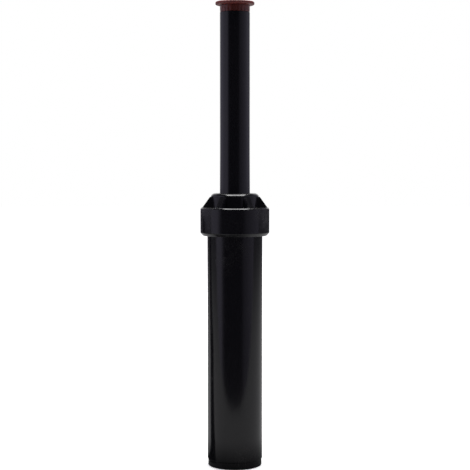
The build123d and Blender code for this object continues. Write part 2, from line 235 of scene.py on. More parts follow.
# Mould grain: the fine skin that spark-eroded steel leaves on moulded plastic,
# with the slow swell of sink and flow under it.
grain_group, g_in, g_out = group(
    "mould_grain",
    {"Grain per metre": 2600.0, "Flow per metre": 90.0, "Flow share": 0.25},
    {"Height": "NodeSocketFloat", "Tone": "NodeSocketFloat"},
)
where = node(grain_group, "ShaderNodeTexCoord").outputs["Object"]
fine = node(
    grain_group, "ShaderNodeTexNoise",
    {"Vector": where, "Scale": g_in.outputs["Grain per metre"], "Detail": 3.0, "Roughness": 0.6},
)
drawn = node(grain_group, "ShaderNodeMapping", {"Vector": where, "Scale": (1, 1, 0.22)})
flow = node(
    grain_group, "ShaderNodeTexNoise",
    {
        "Vector": drawn.outputs[0], "Scale": g_in.outputs["Flow per metre"], "Detail": 4.0,
        "Roughness": 0.55,
    },
)
mixed = node(
    grain_group, "ShaderNodeMix",
    {"Factor": g_in.outputs["Flow share"], "A": fine.outputs["Fac"], "B": flow.outputs["Fac"]},
    data_type="FLOAT",
)
grain_group.links.new(mixed.outputs["Result"], g_out.inputs["Height"])
grain_group.links.new(flow.outputs["Fac"], g_out.inputs["Tone"])

# Handling marks: fine crossing scratches and blurred scuffs from packing and hands.
marks_group, m_in, m_out = group(
    "handling_marks",
    {"Scratches per metre": 70.0, "Scuffs per metre": 28.0, "Amount": 1.0},
    {"Scratch": "NodeSocketFloat", "Scuff": "NodeSocketFloat"},
)
where = node(marks_group, "ShaderNodeTexCoord").outputs["Object"]
lines = None
for tilt, squeeze in ((0.5, 0.06), (-0.9, 0.09), (2.2, 0.05)):
    laid = node(
        marks_group, "ShaderNodeMapping",
        {"Vector": where, "Rotation": (tilt, 0.4 * tilt, tilt * 1.7), "Scale": (1, squeeze, 1)},
    )
    line = node(
        marks_group, "ShaderNodeTexNoise",
        {
            "Vector": laid.outputs[0], "Scale": m_in.outputs["Scratches per metre"], "Detail": 5.0,
            "Roughness": 0.75,
        },
    )
    near = node(
        marks_group, "ShaderNodeMath", {0: line.outputs["Fac"], 1: 0.5}, operation="SUBTRACT",
    )
    near = node(marks_group, "ShaderNodeMath", {0: near.outputs[0]}, operation="ABSOLUTE")
    line = ramp(marks_group, near.outputs[0], ((0.0, 1.0), (0.006, 0.0)))
    lines = line if lines is None else node(
        marks_group, "ShaderNodeMath", {0: lines, 1: line}, operation="MAXIMUM",
    ).outputs[0]
cloud = node(
    marks_group, "ShaderNodeTexNoise",
    {"Vector": where, "Scale": m_in.outputs["Scuffs per metre"], "Detail": 6.0, "Roughness": 0.65},
)
patch = ramp(marks_group, cloud.outputs["Fac"], ((0.52, 0.0), (0.74, 1.0)), "EASE")
broken = node(marks_group, "ShaderNodeMath", {0: lines, 1: patch}, operation="MULTIPLY")
for value, label in ((broken.outputs[0], "Scratch"), (patch, "Scuff")):
    scaled = node(
        marks_group, "ShaderNodeMath", {0: value, 1: m_in.outputs["Amount"]}, operation="MULTIPLY",
    )
    marks_group.links.new(scaled.outputs[0], m_out.inputs[label])

# Worn edges and settled dust: edges burnish where the surface turns sharply
# outwards, and a pale film lies on faces that look up.
wear_group, w_in, w_out = group(
    "edges_and_dust",
    {"Edge": 1.0, "Dust": 0.3, "Specks per metre": 420.0},
    {"Edge": "NodeSocketFloat", "Dust": "NodeSocketFloat"},
)
shape = node(wear_group, "ShaderNodeNewGeometry")
where = node(wear_group, "ShaderNodeTexCoord").outputs["Object"]
speck = node(
    wear_group, "ShaderNodeTexNoise",
    {"Vector": where, "Scale": w_in.outputs["Specks per metre"], "Detail": 4.0, "Roughness": 0.7},
)
turnout = ramp(wear_group, shape.outputs["Pointiness"], ((0.505, 0.0), (0.56, 1.0)))
worn = node(
    wear_group, "ShaderNodeMath", {0: turnout, 1: speck.outputs["Fac"]}, operation="MULTIPLY",
)
worn = node(
    wear_group, "ShaderNodeMath", {0: worn.outputs[0], 1: w_in.outputs["Edge"]},
    operation="MULTIPLY",
)
up = node(wear_group, "ShaderNodeSeparateXYZ", {"Vector": shape.outputs["Normal"]})
facing = ramp(wear_group, up.outputs["Z"], ((0.55, 0.0), (1.0, 1.0)), "EASE")
film = ramp(wear_group, speck.outputs["Fac"], ((0.42, 0.25), (0.66, 1.0)))
settled = node(wear_group, "ShaderNodeMath", {0: facing, 1: film}, operation="MULTIPLY")
settled = node(
    wear_group, "ShaderNodeMath", {0: settled.outputs[0], 1: w_in.outputs["Dust"]},
    operation="MULTIPLY",
)
wear_group.links.new(worn.outputs[0], w_out.inputs["Edge"])
wear_group.links.new(settled.outputs[0], w_out.inputs["Dust"])


def moulded(name, colour, pale, rough, grain=2600.0, skin=0.000006, edge=0.5, dust=0.25, marks=1.0):
    """Moulded plastic: its colour drifts with the flow, pales at worn edges, scuffs and
    dust, and its gloss breaks up with the same masks. skin is the grain height in metres."""
    m = bpy.data.materials.new(name)
    m.use_nodes = True
    t = m.node_tree
    t.nodes.clear()
    made = node(t, "ShaderNodeGroup", node_tree=grain_group)
    made.inputs["Grain per metre"].default_value = grain
    hands = node(t, "ShaderNodeGroup", node_tree=marks_group)
    hands.inputs["Amount"].default_value = marks
    age = node(t, "ShaderNodeGroup", node_tree=wear_group)
    age.inputs["Edge"].default_value = edge
    age.inputs["Dust"].default_value = dust
    lifted = [min(1.0, c * 1.5 + 0.0008) for c in colour]
    base = node(
        t, "ShaderNodeMix", {"Factor": made.outputs["Tone"], "A": (*colour, 1), "B": (*lifted, 1)},
        data_type="RGBA",
    )
    tint = base.outputs["Result"]
    for mask, strength in (
        (hands.outputs["Scuff"], 0.10), (age.outputs["Edge"], 0.35),
        (hands.outputs["Scratch"], 0.4), (age.outputs["Dust"], 1.0),
    ):
        share = node(
            t, "ShaderNodeMath", {0: mask, 1: strength}, operation="MULTIPLY", use_clamp=True,
        )
        tint = node(
            t, "ShaderNodeMix", {"Factor": share.outputs[0], "A": tint, "B": (*pale, 1)},
            data_type="RGBA",
        ).outputs["Result"]
    dull = node(
        t, "ShaderNodeMapRange",
        {
            "Value": made.outputs["Tone"], "From Min": 0.3, "From Max": 0.7, "To Min": rough * 0.9,
            "To Max": rough * 1.12,
        },
    )
    gloss = dull.outputs["Result"]
    for mask, strength in (
        (hands.outputs["Scuff"], 0.10), (hands.outputs["Scratch"], 0.25),
        (age.outputs["Dust"], 0.5),
    ):
        gloss = node(
            t, "ShaderNodeMath", {0: mask, 1: strength, 2: gloss}, operation="MULTIPLY_ADD",
        ).outputs[0]
    cut = node(
        t, "ShaderNodeMath", {0: hands.outputs["Scratch"], 1: -0.35, 2: made.outputs["Height"]},
        operation="MULTIPLY_ADD",
    )
    bump = node(t, "ShaderNodeBump", {"Height": cut.outputs[0], "Distance": skin, "Strength": 1.0})
    shader = node(
        t, "ShaderNodeBsdfPrincipled",
        {"Base Color": tint, "Roughness": gloss, "Normal": bump.outputs[0]},
    )
    node(t, "ShaderNodeOutputMaterial", {"Surface": shader.outputs[0]})
    return m


BLACK_SCUFF, DARK_SCUFF = (0.09, 0.088, 0.08), (0.10, 0.10, 0.095)
case_black = moulded(
    "case_black", (0.0058, 0.0056, 0.0072), BLACK_SCUFF, 0.13, dust=0.12, edge=0.35,
)

turned(
    "case_shell",
    (
        (SOCKET_R + 0.6, 0, 0.15), (BOSS_R, 0, 0.5), (BOSS_R, SOCKET_DEPTH, 0.8),
        (FOOT_IN_R, SOCKET_DEPTH, 0.8),
        (FOOT_IN_R, 0, 0.3), (FOOT_R, 0, 0.4), (FOOT_R, FOOT_H, 0.2), (CASE_R, FOOT_H + 0.5, 0.5),
        (CASE_R, NECK_Z, 0.6), (NECK_R, NECK_Z + NECK_R - CASE_R, 0.4), (NECK_R, RIM_Z, 0.2),
        (SEAT_R, RIM_Z, 0.1), (SEAT_R, SEAT_Z, 0.0), (CASE_IN_R, SEAT_Z, 0.1),
        (CASE_IN_R, FLOOR_Z, 1.2),
        (PORT_R, FLOOR_Z, 0.5), (PORT_R, SOCKET_DEPTH, 0.3), (SOCKET_R, SOCKET_DEPTH, 0.2),
        (SOCKET_R, 0.6, 0.1),
    ),
    case_black, "housing", ("case",), columns=240,
)
bars(
    "case_webs", WEBS, BOSS_R - 0.3, FOOT_IN_R + 0.3, WEB_T, 0.05, SOCKET_DEPTH + 0.3, case_black,
    "housing",
)
bars(
    "case_keys", KEYS, KEY_R, CASE_IN_R + 0.4, KEY_W, FLOOR_Z - 0.3, KEY_TOP, case_black, "housing",
    first=30.0,
)
ridge = screw_ridge(SOCKET_R, THREAD_HIGH, THREAD_PITCH, THREAD_START, THREAD_TURNS, THREAD_ROOT)
threads = np.concatenate([grid_quads(*ridge.shape[:2], False, True), closing(*ridge.shape[:2])])
piece("socket_thread", ridge, threads, case_black, "housing")

# ---------------------------------------------------------------------------
# Cap. Screws down over the case neck and is turned by hand: a smooth skirt, a
# stepped shoulder and six gussets that rise to a chamfered ring round the riser.
# ---------------------------------------------------------------------------
CAP_R, CAP_IN_R, CAP_NECK_R, RING_R = 28.0, 24.8, 18.4, 19.3
MOUTH_R, CAP_BORE_R, RING_FALL = 13.4, 16.8, 0.15
SKIRT_Z, CAP_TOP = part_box("cap")[0][2] / MM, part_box("cap")[1][2] / MM
SEAL_T, SHOULDER_T, GUSSET_H, LIP_T = 1.4, 2.4, 8.7, 2.7
CEILING_Z = RIM_Z + SEAL_T
SHOULDER_Z = CEILING_Z + SHOULDER_T
RING_Z = SHOULDER_Z + GUSSET_H
LIP_Z = CAP_TOP - LIP_T
EDGE_IN, EDGE_UP = 2.2, 2.4
GUSSETS, GUSSET_W, GUSSET_DRAFT = 6, 5.0, 0.35
GUSSET_LOW_R, GUSSET_TOP_R = 26.5, 20.3


def cap_grid():
    """The cap as one closed surface. Each row is a point of two profiles: the pocket
    between gussets, which runs in along the shoulder and up the neck, and the gusset,
    which climbs straight from shoulder to ring. A column takes one or the other, and
    the columns at a gusset's sides stand at its half width over the row's own radius."""
    t = np.linspace(0, 1, 23)
    bend = np.clip(t * 2, 0, 1), np.clip(t * 2 - 1, 0, 1)
    start_r = GUSSET_LOW_R + 0.25
    pocket = np.stack(
        [start_r + (CAP_NECK_R - start_r) * bend[0], SHOULDER_Z + (RING_Z - SHOULDER_Z) * bend[1]],
        -1,
    )
    rise = np.stack(
        [GUSSET_LOW_R + (GUSSET_TOP_R - GUSSET_LOW_R) * t, SHOULDER_Z + (RING_Z - SHOULDER_Z) * t],
        -1,
    )
    body = outline(
        (
            (RING_R - 0.3, RING_Z, 0), (RING_R, RING_Z, 0.25), (RING_R, CAP_TOP - 1.9, 0.35),
            (RING_R - 0.95, CAP_TOP - 0.85, 0.5), (RING_R - 2.3, CAP_TOP - RING_FALL, 0.5),
            (MOUTH_R, CAP_TOP, 0.5),
            (MOUTH_R, LIP_Z, 0.1), (CAP_BORE_R, LIP_Z, 0.3), (CAP_BORE_R, CEILING_Z, 0.2),
            (CAP_IN_R, CEILING_Z, 0.3),
            (CAP_IN_R, SKIRT_Z, 0.3), (CAP_R - EDGE_IN, SKIRT_Z, 0.7),
            (CAP_R, SKIRT_Z + EDGE_UP, 0.9),
            (CAP_R, SHOULDER_Z - 0.85, 0.3), (CAP_R - 0.75, SHOULDER_Z, 0.25),
            (start_r, SHOULDER_Z, 0),
        ),
        closed=False,
    )
    low, high = np.concatenate([pocket, body[:-1]]), np.concatenate([rise, body[:-1]])
    share = np.concatenate([0 * t, np.clip(np.linspace(-0.5, 1.5, len(body) - 1), 0, 1)])
    r_side = np.concatenate([pocket[:, 0], RING_R + (start_r - RING_R) * share[len(t):]])
    r_crest = np.concatenate([rise[:, 0], RING_R + (start_r - RING_R) * share[len(t):]])
    half = GUSSET_W / 2
    foot, crest = np.arcsin((half + GUSSET_DRAFT) / r_side), np.arcsin(
        (half - GUSSET_DRAFT) / r_crest
    )
    step = TURN / GUSSETS
    u = np.linspace(0, 1, 17)[None, :-1]
    v = np.linspace(-1, 1, 7)[None, :]
    angles = np.concatenate(
        [
            -step / 2 + (step / 2 - foot[:, None]) * u, -foot[:, None], crest[:, None] * v,
            foot[:, None], foot[:, None] + (step / 2 - foot[:, None]) * u[:, 1:],
        ],
        1,
    )
    on = np.concatenate([np.zeros(17), np.ones(7), np.zeros(16)])
    r = low[:, 0][:, None] * (1 - on) + high[:, 0][:, None] * on
    z = low[:, 1][:, None] * (1 - on) + high[:, 1][:, None] * on
    a = (np.arange(GUSSETS) * step)[None, :, None] + angles[:, None, :]
    r, z = r[:, None, :] + 0 * a, z[:, None, :] + 0 * a
    return np.stack([r * np.cos(a), r * np.sin(a), z], -1).reshape(len(low), -1, 3)


cap_black = moulded("cap_black", (0.006, 0.0058, 0.0074), BLACK_SCUFF, 0.14, dust=0.12, edge=0.4)
cap = cap_grid()
piece(
    "cap_shell", cap, grid_quads(*cap.shape[:2], True, True), cap_black, "housing",
    ("cap",), sharp=28, bevel=0.4,
)

# ---------------------------------------------------------------------------
# Wiper seal. A black elastomer ring nipped between cap and case, whose upper
# lip shows in the cap's mouth and wipes the riser as it drops.
# ---------------------------------------------------------------------------
RISER_R, WIPE_GAP = 12.15, 0.08
SEAL_OUT_R, SEAL_IN_R, SEAL_NECK_R, SEAL_LIP_R, SEAL_WAIST_R = 24.5, 15.4, 16.7, 13.3, 12.7
seal_black = moulded(
    "seal_black", (0.012, 0.012, 0.0125), DARK_SCUFF, 0.55, grain=3600.0, skin=0.00004, edge=0.2,
    dust=0.3, marks=0.4,
)
turned(
    "wiper_lips",
    (
        (SEAL_IN_R, RIM_Z, 0.1), (SEAL_OUT_R, RIM_Z, 0.1), (SEAL_OUT_R, CEILING_Z, 0.1),
        (SEAL_NECK_R, CEILING_Z, 0.2), (SEAL_NECK_R, LIP_Z, 0.3),
        (SEAL_LIP_R, LIP_Z, 0.1), (SEAL_LIP_R, CAP_TOP - 0.25, 0.35),
        (RISER_R + WIPE_GAP, CAP_TOP - 0.1, 0.1), (RISER_R + WIPE_GAP, LIP_Z + 1.4, 0.1),
        (SEAL_WAIST_R, LIP_Z, 0.3), (SEAL_WAIST_R, LIP_Z - 1.4, 0.3),
        (RISER_R + WIPE_GAP, LIP_Z - 5.6, 0.1), (RISER_R + WIPE_GAP, LIP_Z - 7.0, 0.1),
        (14.1, LIP_Z - 2.1, 0.5), (SEAL_IN_R, LIP_Z - 2.1, 0.4),
    ),
    seal_black, "housing", ("wiper_seal",), columns=144, arc=3,
)

# ---------------------------------------------------------------------------
# Retraction spring. Stainless wire wound in seventeen coils, squeezed almost
# solid while the riser is up; its end coils lie flat on ring and retainer.
# ---------------------------------------------------------------------------
WIRE_R, COIL_R, COILS, END_COILS = 0.75, 15.6, 17.0, 0.9
SPRING_Z, SPRING_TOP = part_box("retract_spring")[0][2] / MM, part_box("retract_spring")[1][2] / MM


def steel(name, colour, rough, grain=900.0):
    """Stainless steel: drawn or turned grain, a little staining and fingerprints."""
    m = bpy.data.materials.new(name)
    m.use_nodes = True
    t = m.node_tree
    t.nodes.clear()
    made = node(t, "ShaderNodeGroup", node_tree=grain_group)
    made.inputs["Grain per metre"].default_value = grain
    made.inputs["Flow share"].default_value = 0.4
    hands = node(t, "ShaderNodeGroup", node_tree=marks_group)
    hands.inputs["Scuffs per metre"].default_value = 160.0
    stained = [c * 0.72 for c in colour]
    tint = node(
        t, "ShaderNodeMix", {"Factor": made.outputs["Tone"], "A": (*colour, 1), "B": (*stained, 1)},
        data_type="RGBA",
    )
    gloss = node(
        t, "ShaderNodeMath", {0: hands.outputs["Scuff"], 1: 0.2, 2: rough},
        operation="MULTIPLY_ADD",
    )
    bump = node(
        t, "ShaderNodeBump",
        {"Height": made.outputs["Height"], "Distance": 0.00001, "Strength": 1.0},
    )
    shader = node(
        t, "ShaderNodeBsdfPrincipled",
        {
            "Base Color": tint.outputs["Result"], "Roughness": gloss.outputs[0],
            "Normal": bump.outputs[0],
        },
    )
    shader.inputs["Metallic"].default_value = 1.0
    node(t, "ShaderNodeOutputMaterial", {"Surface": shader.outputs[0]})
    return m


wire_steel = steel("wire_steel", (0.56, 0.55, 0.53), 0.24)
turn = np.linspace(0, COILS, int(COILS * 64) + 1)
round_wire = np.linspace(0, TURN, 12, endpoint=False)
climb = np.clip((turn - END_COILS) / (COILS - 2 * END_COILS), 0, 1)
flat_rise = 2 * WIRE_R * 1.01 * np.clip(np.minimum(turn, COILS - turn), 0, END_COILS)
low_z, high_z = SPRING_Z + WIRE_R, SPRING_TOP - WIRE_R
end_z = 2 * WIRE_R * 1.01 * END_COILS
centre_z = np.where(
    turn < END_COILS, low_z + flat_rise,
    np.where(
        turn > COILS - END_COILS, high_z - flat_rise,
        low_z + end_z + (high_z - low_z - 2 * end_z) * climb,
    ),
)
# the wire's section is carried round the helix; both ends close to a small disc
section = np.concatenate([[0.02, 0.85], np.ones(len(turn) - 4), [0.85, 0.02]]) * WIRE_R
around = TURN * turn[:, None]
coil_r = COIL_R + section[:, None] * np.cos(round_wire)
coil = np.stack(
    [
        coil_r * np.cos(around), coil_r * np.sin(around),
        centre_z[:, None] + section[:, None] * np.sin(round_wire),
    ],
    -1,
)
wire = np.concatenate([grid_quads(*coil.shape[:2], False, True), closing(*coil.shape[:2])])
spring = piece(
    "retraction_spring", coil, wire, wire_steel, None, ("retract_spring",),
    sharp=60,
)
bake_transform(spring)

# ---------------------------------------------------------------------------
# Riser. A smooth black tube, 150 mm of stroke, threaded at the top for the
# nozzle and splined at the foot onto its base.
# ---------------------------------------------------------------------------
RISER_Z, BORE_R, THREAD_R, NOZZLE_LAP = 170.9, 9.4, 10.6, 3.2
THREAD_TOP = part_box("riser_tube")[1][2] / MM
RISER_TOP = THREAD_TOP - NOZZLE_LAP
riser_black = moulded(
    "riser_black", (0.0058, 0.0056, 0.0072), BLACK_SCUFF, 0.13, dust=0.1, edge=0.3, marks=0.8,
)
turned(
    "riser_barrel",
    (
        (BORE_R, RISER_Z, 0.2), (RISER_R, RISER_Z, 0.3), (RISER_R, RISER_TOP, 0.35),
        (THREAD_R, RISER_TOP, 0.1),
        (THREAD_R, THREAD_TOP, 0.3), (BORE_R, THREAD_TOP, 0.2),
    ),
    riser_black, "riser", ("riser_tube",), columns=180,
)

# ---------------------------------------------------------------------------
# Nozzle. A red-brown moulding: the skirt screws onto the riser and the arc
# collar turns on it between two stops, round the fixed deflector.
# ---------------------------------------------------------------------------
COLLAR_R = 15.7
COLLAR_Z, COLLAR_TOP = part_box("arc_collar")[0][2] / MM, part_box("arc_collar")[1][2] / MM
KNURLS, KNURL_DEPTH = 90, 0.16

COLLAR_LIFT, PLATE_T = 0.2, 1.8
SKIRT_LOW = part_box("riser_tube")[1][2] / MM - NOZZLE_LAP
PLATE_LOW, PLATE_TOP = COLLAR_Z - COLLAR_LIFT - PLATE_T, COLLAR_Z - COLLAR_LIFT
PILOT_R, PILOT_IN_R, PILOT_TOP = 9.5, 7.2, COLLAR_Z + 1.0
SPIGOT_R, SPIGOT_IN_R, SPIGOT_Z = 8.8, 7.6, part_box("nozzle_base")[0][2] / MM
PORT_IN_R, PORT_OUT_R, POST_R = 4.0, 5.9, 2.6
FLUTES, FLUTE_DEPTH = 24, 0.34
STOP_R, STOP_PIN_R, TRACK_W, TRACK_DEPTH = 11.1, 0.45, 1.3, 0.9
TRACK_FIRST, TRACK_SWEEP, STOP_PIN_H = -240.0, 330.0, 0.65

RED_SCUFF = (0.25, 0.11, 0.095)
nozzle_brown = moulded("nozzle_brown", (0.15, 0.032, 0.022), RED_SCUFF, 0.3, dust=0.15, edge=0.6)
collar_brown = moulded("collar_brown", (0.21, 0.046, 0.038), RED_SCUFF, 0.32, dust=0.15, edge=0.7)


def wave(grid, count, depth, share):
    """Pulls a turned grid inwards along count even waves round the axis: the radius
    loses depth times share times (1 - cos(count * angle)) / 2, squared."""
    radius, angle = np.hypot(grid[..., 0], grid[..., 1]), np.arctan2(grid[..., 1], grid[..., 0])
    cut = 1 - depth * share(radius, grid[..., 2]) * (
        0.5 - 0.5 * np.cos(angle * count)
    ) ** 2 / radius
    grid[..., :2] *= cut[..., None]
    return grid


base_ring = outline(
    (
        (THREAD_R + 0.15, SKIRT_LOW, 0.1), (RISER_R - 0.25, SKIRT_LOW, 0.25),
        (RISER_R - 0.12, SKIRT_LOW + 2.6, 0.0),
        (RISER_R - 0.1, SKIRT_LOW + 3.4, 0.0), (RISER_R, PLATE_TOP, 0.2),
        (PILOT_R, PLATE_TOP, 0.15), (PILOT_R, PLATE_TOP + 0.45, 0.1),
        (PILOT_R + 0.25, PLATE_TOP + 0.65, 0.1),
        (PILOT_R, PLATE_TOP + 0.85, 0.1), (PILOT_R, PILOT_TOP, 0.1), (PILOT_IN_R, PILOT_TOP, 0.1),
        (PILOT_IN_R, PLATE_TOP, 0.2), (PORT_OUT_R, PLATE_TOP, 0.2), (PORT_OUT_R, PLATE_LOW, 0.1),
        (SPIGOT_IN_R, PLATE_LOW, 0.2), (SPIGOT_IN_R, SPIGOT_Z, 0.15), (SPIGOT_R, SPIGOT_Z, 0.3),
        (SPIGOT_R, PLATE_LOW, 0.3), (THREAD_R + 0.15, PLATE_LOW, 0.2),
    )
)
skirt = wave(
    lathe(base_ring, FLUTES * 10), FLUTES, FLUTE_DEPTH,
    lambda r,
    z: (r > RISER_R - 0.6) * np.clip(
        (z - SKIRT_LOW - 0.25) / 0.3, 0, 1,
    ) * np.clip((SKIRT_LOW + 3.6 - z) / 0.5, 0, 1),
)
piece(
    "nozzle_skirt", skirt, grid_quads(*skirt.shape[:2], True, True), nozzle_brown, "riser",
    ("nozzle_base",), sharp=45,
)
turned(
    "nozzle_hub",
    (
        (POST_R + 0.02, PLATE_LOW, 0.1), (PORT_IN_R, PLATE_LOW, 0.2), (PORT_IN_R, PLATE_TOP, 0.2),
        (POST_R + 0.02, PLATE_TOP, 0.1),
    ),
    nozzle_brown, "riser", columns=96, arc=3,
)
bars(
    "nozzle_spokes", 3, PORT_IN_R - 0.3, PORT_OUT_R + 0.3, 1.4, PLATE_LOW + 0.05, PLATE_TOP - 0.05,
    nozzle_brown, "riser", bevel=0.15,
)
bars(
    "nut_keys", 2, SPIGOT_IN_R - 0.9, SPIGOT_IN_R + 0.3, 1.2, SPIGOT_Z + 0.1, PLATE_LOW + 0.2,
    nozzle_brown, "riser", bevel=0.15,
)
stub = lathe(
    outline(
        (
            (0.02, PLATE_TOP - 0.2, 0.0), (STOP_PIN_R, PLATE_TOP - 0.2, 0.05),
            (STOP_PIN_R, PLATE_TOP + STOP_PIN_H, 0.12), (0.02, PLATE_TOP + STOP_PIN_H, 0.0),
        ),
        3,
    ),
    24,
)
stub[..., 1] -= STOP_R
piece(
    "stop_pin_stub", stub, grid_quads(*stub.shape[:2], True, True), nozzle_brown, "riser",
)

COLLAR_BORE_R, COLLAR_CONE_LOW_R, COLLAR_CONE_TOP_R, COLLAR_BORE_H = 9.58, 8.25, 9.6, 1.3
COLLAR_FLAT_R, COLLAR_FACE_R = 12.6, 12.4
ring = outline(
    (
        (COLLAR_BORE_R, COLLAR_Z, 0.1), (STOP_R - TRACK_W / 2, COLLAR_Z, 0.1),
        (STOP_R - TRACK_W / 2, COLLAR_Z + TRACK_DEPTH, 0.1),
        (STOP_R + TRACK_W / 2, COLLAR_Z + TRACK_DEPTH, 0.1), (STOP_R + TRACK_W / 2, COLLAR_Z, 0.1),
        (COLLAR_FLAT_R, COLLAR_Z, 0.3), (COLLAR_R - 0.5, COLLAR_Z + 0.5, 0.2),
        (COLLAR_R, COLLAR_Z + 1.0, 0.2),
        (COLLAR_R, COLLAR_TOP - 0.8, 0.3), (COLLAR_R - 0.5, COLLAR_TOP - 0.25, 0.2),
        (COLLAR_FACE_R, COLLAR_TOP, 0.3),
        (COLLAR_CONE_TOP_R, COLLAR_TOP, 0.2), (COLLAR_CONE_LOW_R, COLLAR_Z + COLLAR_BORE_H, 0.1),
        (COLLAR_BORE_R, COLLAR_Z + COLLAR_BORE_H, 0.1),
    )
)
collar = wave(
    lathe(ring, KNURLS * 8), KNURLS, KNURL_DEPTH, lambda r,
    z: np.clip((r - (COLLAR_R - 1.2)) / 1.0, 0, 1),
)
piece(
    "arc_ring", collar, grid_quads(*collar.shape[:2], True, True), collar_brown, "collar",
    ("arc_collar",), sharp=50,
)
gap = math.radians(360.0 - TRACK_SWEEP) / 2 - (TRACK_W / 2) / STOP_R
middle = math.radians(TRACK_FIRST + TRACK_SWEEP) + math.radians(360.0 - TRACK_SWEEP) / 2
a = (middle + np.linspace(-gap, gap, 9))[:, None]
r = STOP_R + np.array([-0.5, 0.5, 0.5, -0.5]) * (TRACK_W + 0.1)
z = COLLAR_Z + np.array([0.0, 0.0, TRACK_DEPTH + 0.1, TRACK_DEPTH + 0.1])
stop = np.stack([r * np.cos(a), r * np.sin(a), z + 0 * a], -1)
block = np.concatenate([grid_quads(*stop.shape[:2], False, True), closing(*stop.shape[:2])])
piece("collar_stop", stop, block, collar_brown, "collar", bevel=0.1)

# ---------------------------------------------------------------------------
# Deflector and radius screw. The deflector throws the water out along shallow
# grooves; the slotted steel screw in its middle chokes the flow.
# ---------------------------------------------------------------------------
DEFLECTOR_R = 8.2
DEFLECTOR_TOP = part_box("deflector")[1][2] / MM
DEFLECTOR_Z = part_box("deflector")[0][2] / MM
GROOVES, GROOVE_DEPTH, GROOVE_START_R = 36, 0.22, 3.4
DISC_BORE_R, RECESS_R, RECESS_DEPTH, DISH_DEPTH = 1.58, 2.7, 1.05, 0.25
DISH_OUT_R, DISH_IN_R = 5.2, 4.6
deflector_black = moulded(
    "deflector_black", (0.006, 0.006, 0.0065), DARK_SCUFF, 0.3, dust=0.3, edge=0.5,
)
plate = outline(
    (
        (DISC_BORE_R, DEFLECTOR_Z, 0.1), (POST_R, DEFLECTOR_Z, 0.2), (POST_R, COLLAR_Z + 0.1, 0.2),
        (GROOVE_START_R, COLLAR_Z + 0.1, 0.1),
        (DEFLECTOR_R, DEFLECTOR_TOP - 0.5, 0.1), (DEFLECTOR_R, DEFLECTOR_TOP, 0.2),
        (DISH_OUT_R, DEFLECTOR_TOP, 0.3),
        (DISH_IN_R, DEFLECTOR_TOP - DISH_DEPTH, 0.3), (RECESS_R, DEFLECTOR_TOP - DISH_DEPTH, 0.1),
        (RECESS_R, DEFLECTOR_TOP - RECESS_DEPTH, 0.1),
        (DISC_BORE_R, DEFLECTOR_TOP - RECESS_DEPTH, 0.1),
    )
)
disc = lathe(plate, GROOVES * 8)
radius = np.hypot(disc[..., 0], disc[..., 1])
angle = np.arctan2(disc[..., 1], disc[..., 0])
under = (disc[..., 2] < DEFLECTOR_TOP - 0.4) & (radius > 3.5)
disc[..., 2] += GROOVE_DEPTH * under * (
    0.5 - 0.5 * np.cos(angle * GROOVES)
) * np.clip((radius - 3.5) / 2, 0, 1)
piece(
    "deflector_disc", disc, grid_quads(*disc.shape[:2], True, True), deflector_black, "riser",
    ("deflector",), sharp=40,
)

# ---------------------------------------------------------------------------
# Inner parts. Seal retainer, ratchet ring, riser base, throttle nut and filter
# basket are plain mouldings inside the case; they keep their turned shapes.
# ---------------------------------------------------------------------------
inner_black = moulded("inner_black", (0.012, 0.012, 0.0125), DARK_SCUFF, 0.42)
acetal_white = moulded("acetal_white", (0.55, 0.54, 0.50), (0.7, 0.69, 0.66), 0.38, edge=0.2)
filter_grey = moulded("filter_grey", (0.30, 0.31, 0.32), (0.5, 0.5, 0.49), 0.4, edge=0.2)
screw_steel = steel("screw_steel", (0.60, 0.59, 0.57), 0.28)
for name, finish in (
    ("seal_retainer", inner_black), ("ratchet_ring", acetal_white), ("riser_base", acetal_white),
    ("throttle_nut", acetal_white), ("filter_screen", filter_grey), ("radius_screw", screw_steel),
):
    bpy.data.objects[name].data.materials.clear()
    bpy.data.objects[name].data.materials.append(finish)

# ---------------------------------------------------------------------------
# Studio. A pale sheet under the object, one large soft box above and behind it,
# and a painted surround whose pale and dark bands show in the black plastic.
# ---------------------------------------------------------------------------
def sheet(name, x0, y0, x1, y1, z=-0.0002):
    """Flat rectangle at height z, in metres."""
    mesh = bpy.data.meshes.new(name)
    mesh.from_pydata([(x0, y0, z), (x1, y0, z), (x1, y1, z), (x0, y1, z)], [], [(0, 1, 2, 3)])
    obj = bpy.data.objects.new(name, mesh)
    bpy.context.scene.collection.objects.link(obj)
    return obj


floor = sheet("floor", -6.0, -0.27, 6.0, 6.0)
paper = bpy.data.materials.new("paper")
paper.use_nodes = True
t = paper.node_tree
t.nodes.clear()
fibre = node(
    t, "ShaderNodeTexNoise",
    {"Vector": node(t, "ShaderNodeTexCoord").outputs["Object"], "Scale": 300.0, "Detail": 3.0},
)
tone = node(t, "ShaderNodeMapRange", {"Value": fibre.outputs["Fac"], "To Min": 0.86, "To Max": 0.9})
matt = node(t, "ShaderNodeBsdfDiffuse", {"Color": tone.outputs["Result"]})
away = node(
    t, "ShaderNodeVectorMath", {0: node(t, "ShaderNodeTexCoord").outputs["Object"]},
    operation="LENGTH",
)
# Painted light: to the camera the floor glows by itself, dimmer near the object and brighter
# further out.
glow = node(
    t, "ShaderNodeMapRange",
    {
        "Value": away.outputs["Value"], "From Min": 0.1, "From Max": 0.9, "To Min": 0.35,
        "To Max": 1.1,
    },
)
painted_glow = node(t, "ShaderNodeEmission", {"Strength": glow.outputs["Result"]})
both = node(t, "ShaderNodeAddShader", {0: matt.outputs[0], 1: painted_glow.outputs[0]})
# Painted shade: in reflections the floor is a grey that darkens towards the object.
shade = node(
    t, "ShaderNodeMapRange",
    {
        "Value": away.outputs["Value"], "From Min": 0.045, "From Max": 0.12, "To Min": 0.1,
        "To Max": 0.36,
    },
)
grey = node(t, "ShaderNodeBsdfDiffuse", {"Color": shade.outputs["Result"]})
seen = node(t, "ShaderNodeLightPath").outputs["Is Camera Ray"]
